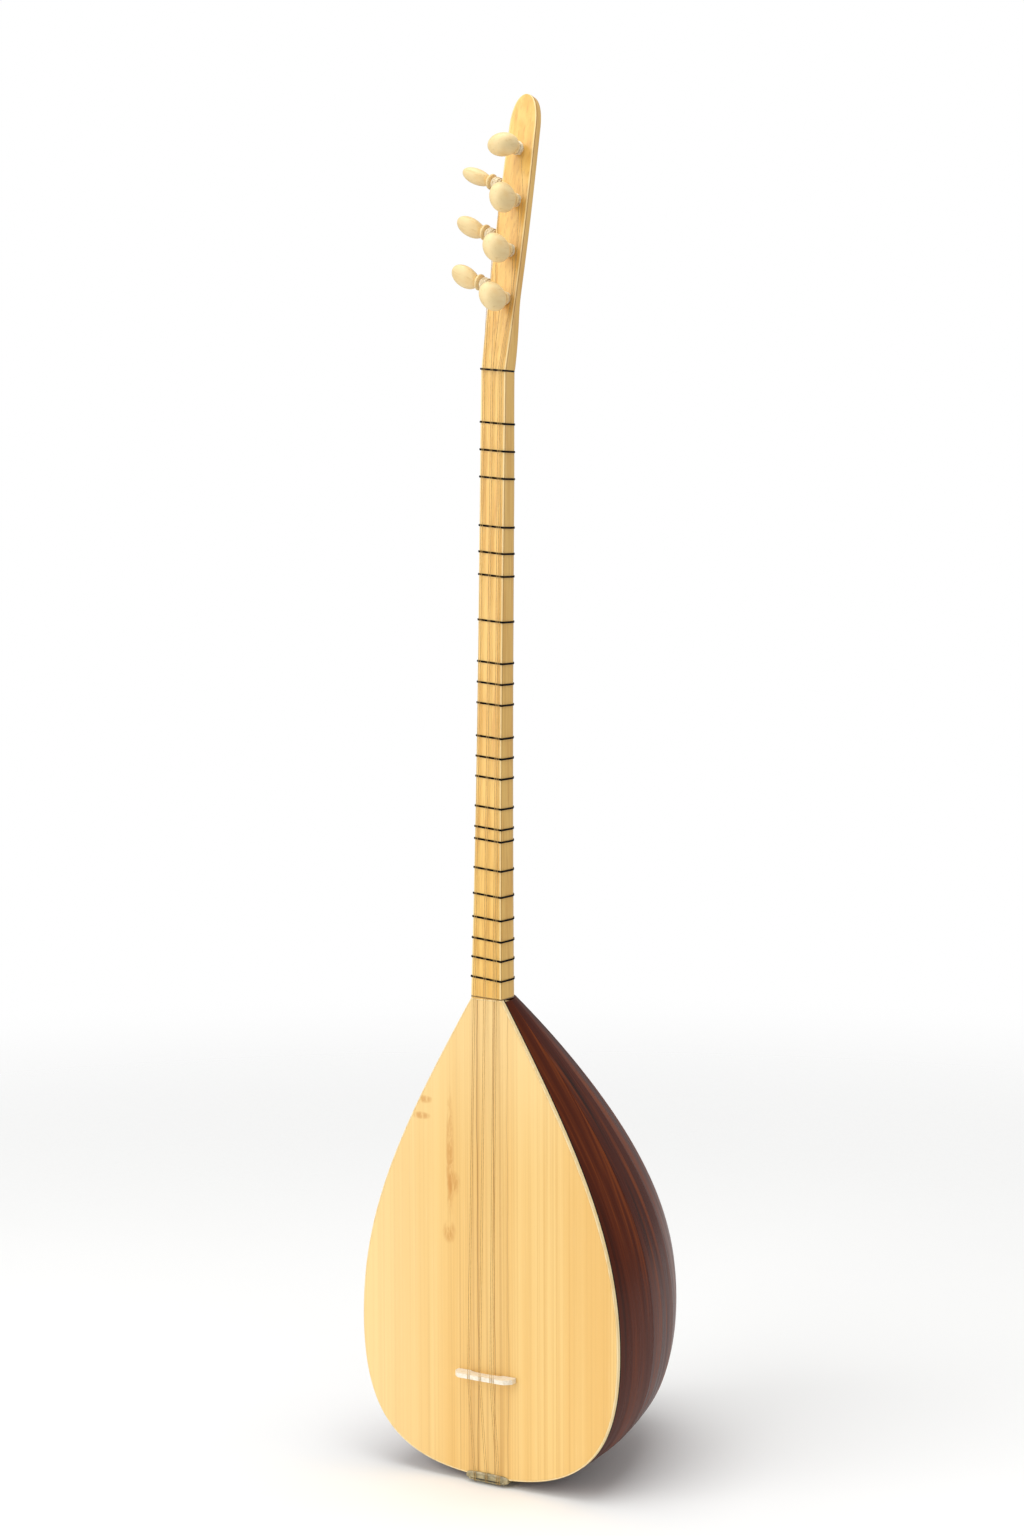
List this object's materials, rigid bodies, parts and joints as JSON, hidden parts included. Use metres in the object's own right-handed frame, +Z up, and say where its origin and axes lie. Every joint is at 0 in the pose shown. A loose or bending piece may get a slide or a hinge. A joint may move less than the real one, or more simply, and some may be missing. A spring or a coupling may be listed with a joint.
{
  "type": "long-neck lute",
  "caption": "Long-neck fretted lute with a teardrop stave-built bowl, flat soundboard, movable tied frets, free bridge and friction pegs on the front and side of a bent-back peghead.",
  "frame": {"origin": "the hanging point: the middle of the peghead's flat back, between the two lowest front pegs", "axes": "+Z up the neck towards the peghead's tip, -Y out of the soundboard, +X to the right of someone who faces the soundboard"},
  "size_m": [0.263, 0.2673, 1.2233],
  "materials": {
    "spruce_board": "satin varnished pale softwood with fine straight grain",
    "rosewood_staves": "glossy varnished dark reddish brown hardwood with orange streaks",
    "pale_neck_wood": "satin varnished honey yellow hardwood",
    "linden_block": "unvarnished",
    "boxwood_pegs": "smooth cream boxwood",
    "black_veneer": "black dyed veneer",
    "bone_bridge": "polished bone white",
    "horn_tailpiece": "polished pale horn",
    "fret_line": "black monofilament line",
    "string_steel": "plain steel wire"
  },
  "bodies": {
    "root": {"soundboard": "spruce_board", "purfling": "black_veneer", "rib_01": "rosewood_staves", "rib_02": "rosewood_staves", "rib_03": "rosewood_staves", "rib_04": "rosewood_staves", "rib_05": "rosewood_staves", "rib_06": "rosewood_staves", "rib_07": "rosewood_staves", "rib_08": "rosewood_staves", "rib_09": "rosewood_staves", "neck_block": "linden_block", "tail_block": "linden_block", "brace_1": "linden_block", "brace_2": "linden_block", "neck": "pale_neck_wood", "nut": "black_veneer", "peghead": "pale_neck_wood", "tailpiece": "horn_tailpiece", "string_1": "string_steel", "string_2": "string_steel", "string_3": "string_steel", "string_4": "string_steel", "string_5": "string_steel", "string_6": "string_steel", "string_7": "string_steel"},
    "bridge": {"bridge": "bone_bridge"},
    "peg_front_1": {"peg_front_1": "boxwood_pegs"},
    "peg_front_2": {"peg_front_2": "boxwood_pegs"},
    "peg_front_3": {"peg_front_3": "boxwood_pegs"},
    "peg_front_4": {"peg_front_4": "boxwood_pegs"},
    "peg_side_1": {"peg_side_1": "boxwood_pegs"},
    "peg_side_2": {"peg_side_2": "boxwood_pegs"},
    "peg_side_3": {"peg_side_3": "boxwood_pegs"},
    "fret_01": {"fret_01": "fret_line"},
    "fret_02": {"fret_02": "fret_line"},
    "fret_03": {"fret_03": "fret_line"},
    "fret_04": {"fret_04": "fret_line"},
    "fret_05": {"fret_05": "fret_line"},
    "fret_06": {"fret_06": "fret_line"},
    "fret_07": {"fret_07": "fret_line"},
    "fret_08": {"fret_08": "fret_line"},
    "fret_09": {"fret_09": "fret_line"},
    "fret_10": {"fret_10": "fret_line"},
    "fret_11": {"fret_11": "fret_line"},
    "fret_12": {"fret_12": "fret_line"},
    "fret_13": {"fret_13": "fret_line"},
    "fret_14": {"fret_14": "fret_line"},
    "fret_15": {"fret_15": "fret_line"},
    "fret_16": {"fret_16": "fret_line"},
    "fret_17": {"fret_17": "fret_line"},
    "fret_18": {"fret_18": "fret_line"},
    "fret_19": {"fret_19": "fret_line"},
    "fret_20": {"fret_20": "fret_line"},
    "fret_21": {"fret_21": "fret_line"},
    "fret_22": {"fret_22": "fret_line"}
  },
  "joints": [
    {"name": "bridge_slide", "type": "slide", "parent": "root", "child": "bridge", "axis": [0, 0, 1], "range_m": [-0.0025, 0.015]},
    {"name": "peg_front_1_turn", "type": "hinge", "parent": "root", "child": "peg_front_1", "pos_m": [0.0005, 0.01626, 0.11227], "axis": [0, -0.9997, 0.0227], "continuous": true},
    {"name": "peg_front_2_turn", "type": "hinge", "parent": "root", "child": "peg_front_2", "pos_m": [0.004, 0.00545, 0.06653], "axis": [0, -0.9997, 0.0227], "continuous": true},
    {"name": "peg_front_3_turn", "type": "hinge", "parent": "root", "child": "peg_front_3", "pos_m": [0.004, -0.0049, 0.02274], "axis": [0, -0.9997, 0.0227], "continuous": true},
    {"name": "peg_front_4_turn", "type": "hinge", "parent": "root", "child": "peg_front_4", "pos_m": [0.005, -0.01479, -0.01911], "axis": [0, -0.9997, 0.0227], "continuous": true},
    {"name": "peg_side_1_turn", "type": "hinge", "parent": "root", "child": "peg_side_1", "pos_m": [-0.01454, 0.014, 0.08095], "axis": [-0.9397, 0.0787, 0.3328], "continuous": true},
    {"name": "peg_side_2_turn", "type": "hinge", "parent": "root", "child": "peg_side_2", "pos_m": [-0.01471, 0.00342, 0.03619], "axis": [-0.9397, 0.0787, 0.3328], "continuous": true},
    {"name": "peg_side_3_turn", "type": "hinge", "parent": "root", "child": "peg_side_3", "pos_m": [-0.01427, -0.00694, -0.00761], "axis": [-0.9397, 0.0787, 0.3328], "continuous": true},
    {"name": "fret_01_slide", "type": "slide", "parent": "root", "child": "fret_01", "axis": [0, 0.0297, 0.9996], "range_m": [-0.0025, 0.0025]},
    {"name": "fret_02_slide", "type": "slide", "parent": "root", "child": "fret_02", "axis": [0, 0.0297, 0.9996], "range_m": [-0.0025, 0.0025]},
    {"name": "fret_03_slide", "type": "slide", "parent": "root", "child": "fret_03", "axis": [0, 0.0297, 0.9996], "range_m": [-0.0025, 0.0025]},
    {"name": "fret_04_slide", "type": "slide", "parent": "root", "child": "fret_04", "axis": [0, 0.0297, 0.9996], "range_m": [-0.0025, 0.0025]},
    {"name": "fret_05_slide", "type": "slide", "parent": "root", "child": "fret_05", "axis": [0, 0.0297, 0.9996], "range_m": [-0.0025, 0.0025]},
    {"name": "fret_06_slide", "type": "slide", "parent": "root", "child": "fret_06", "axis": [0, 0.0297, 0.9996], "range_m": [-0.0025, 0.0025]},
    {"name": "fret_07_slide", "type": "slide", "parent": "root", "child": "fret_07", "axis": [0, 0.0297, 0.9996], "range_m": [-0.0025, 0.0025]},
    {"name": "fret_08_slide", "type": "slide", "parent": "root", "child": "fret_08", "axis": [0, 0.0297, 0.9996], "range_m": [-0.0025, 0.0025]},
    {"name": "fret_09_slide", "type": "slide", "parent": "root", "child": "fret_09", "axis": [0, 0.0297, 0.9996], "range_m": [-0.0025, 0.0025]},
    {"name": "fret_10_slide", "type": "slide", "parent": "root", "child": "fret_10", "axis": [0, 0.0297, 0.9996], "range_m": [-0.0025, 0.0025]},
    {"name": "fret_11_slide", "type": "slide", "parent": "root", "child": "fret_11", "axis": [0, 0.0297, 0.9996], "range_m": [-0.0025, 0.0025]},
    {"name": "fret_12_slide", "type": "slide", "parent": "root", "child": "fret_12", "axis": [0, 0.0297, 0.9996], "range_m": [-0.0025, 0.0025]},
    {"name": "fret_13_slide", "type": "slide", "parent": "root", "child": "fret_13", "axis": [0, 0.0297, 0.9996], "range_m": [-0.0025, 0.0025]},
    {"name": "fret_14_slide", "type": "slide", "parent": "root", "child": "fret_14", "axis": [0, 0.0297, 0.9996], "range_m": [-0.0025, 0.0025]},
    {"name": "fret_15_slide", "type": "slide", "parent": "root", "child": "fret_15", "axis": [0, 0.0297, 0.9996], "range_m": [-0.0025, 0.0025]},
    {"name": "fret_16_slide", "type": "slide", "parent": "root", "child": "fret_16", "axis": [0, 0.0297, 0.9996], "range_m": [-0.0025, 0.0025]},
    {"name": "fret_17_slide", "type": "slide", "parent": "root", "child": "fret_17", "axis": [0, 0.0297, 0.9996], "range_m": [-0.0025, 0.0025]},
    {"name": "fret_18_slide", "type": "slide", "parent": "root", "child": "fret_18", "axis": [0, 0.0297, 0.9996], "range_m": [-0.0025, 0.0025]},
    {"name": "fret_19_slide", "type": "slide", "parent": "root", "child": "fret_19", "axis": [0, 0.0297, 0.9996], "range_m": [-0.0025, 0.0025]},
    {"name": "fret_20_slide", "type": "slide", "parent": "root", "child": "fret_20", "axis": [0, 0.0297, 0.9996], "range_m": [-0.0025, 0.0025]},
    {"name": "fret_21_slide", "type": "slide", "parent": "root", "child": "fret_21", "axis": [0, 0.0297, 0.9996], "range_m": [-0.0025, 0.0025]},
    {"name": "fret_22_slide", "type": "slide", "parent": "root", "child": "fret_22", "axis": [0, 0.0297, 0.9996], "range_m": [-0.0025, 0.0025]}
  ]
}
